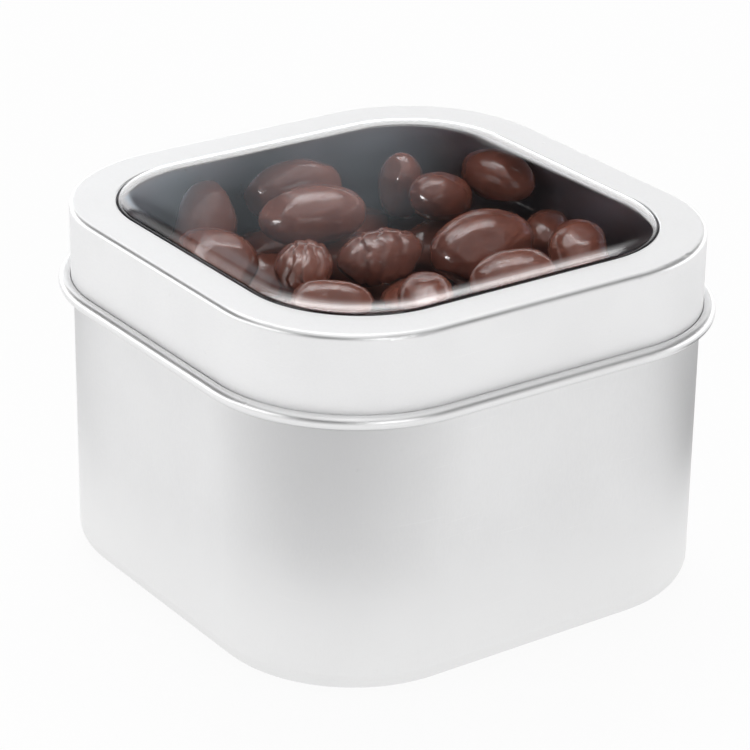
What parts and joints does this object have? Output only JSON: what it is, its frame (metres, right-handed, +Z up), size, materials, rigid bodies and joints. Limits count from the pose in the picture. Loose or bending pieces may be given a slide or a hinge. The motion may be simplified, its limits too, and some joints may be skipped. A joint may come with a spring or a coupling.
{
  "type": "window lid tin",
  "caption": "Square metal gift tin with rounded corners and a slip-over lid that lifts off; a clear raised window in the lid shows the chocolate-coated almonds inside.",
  "frame": {"origin": "centre of the tin in plan, on the plane of the standing ring under its base", "axes": "+Z up through the window, X and Y along the tin's flat sides; the pictured corner lies between -X and -Y"},
  "size_m": [0.1046, 0.1046, 0.0705],
  "materials": {
    "body_tinplate": "satin drawn tinplate, pale silver",
    "lid_tinplate": "satin drawn tinplate, pale silver",
    "frame_tinplate": "plain tinplate",
    "clear_window": "clear formed sheet, glossy",
    "chocolate": "polished milk chocolate, slightly uneven"
  },
  "bodies": {
    "tin": {"tin_body": "body_tinplate", "almond_bed": "chocolate", "top_almond_01": "chocolate", "top_almond_02": "chocolate", "top_almond_03": "chocolate", "top_almond_04": "chocolate", "top_almond_05": "chocolate", "top_almond_06": "chocolate", "top_almond_07": "chocolate", "top_almond_08": "chocolate", "top_almond_09": "chocolate", "top_almond_10": "chocolate", "top_almond_11": "chocolate", "top_almond_12": "chocolate", "top_almond_13": "chocolate", "top_almond_14": "chocolate", "top_almond_15": "chocolate", "top_almond_16": "chocolate", "top_almond_17": "chocolate", "top_almond_18": "chocolate", "top_almond_19": "chocolate", "top_almond_20": "chocolate", "top_almond_21": "chocolate", "top_almond_22": "chocolate", "top_almond_23": "chocolate", "top_almond_24": "chocolate", "top_almond_25": "chocolate"},
    "lid": {"lid_shell": "lid_tinplate", "window_pane": "clear_window", "window_retainer": "frame_tinplate"}
  },
  "joints": [
    {"name": "lid_lift", "type": "slide", "parent": "tin", "child": "lid", "axis": [0, 0, 1], "range_m": [0, 0.06]}
  ]
}
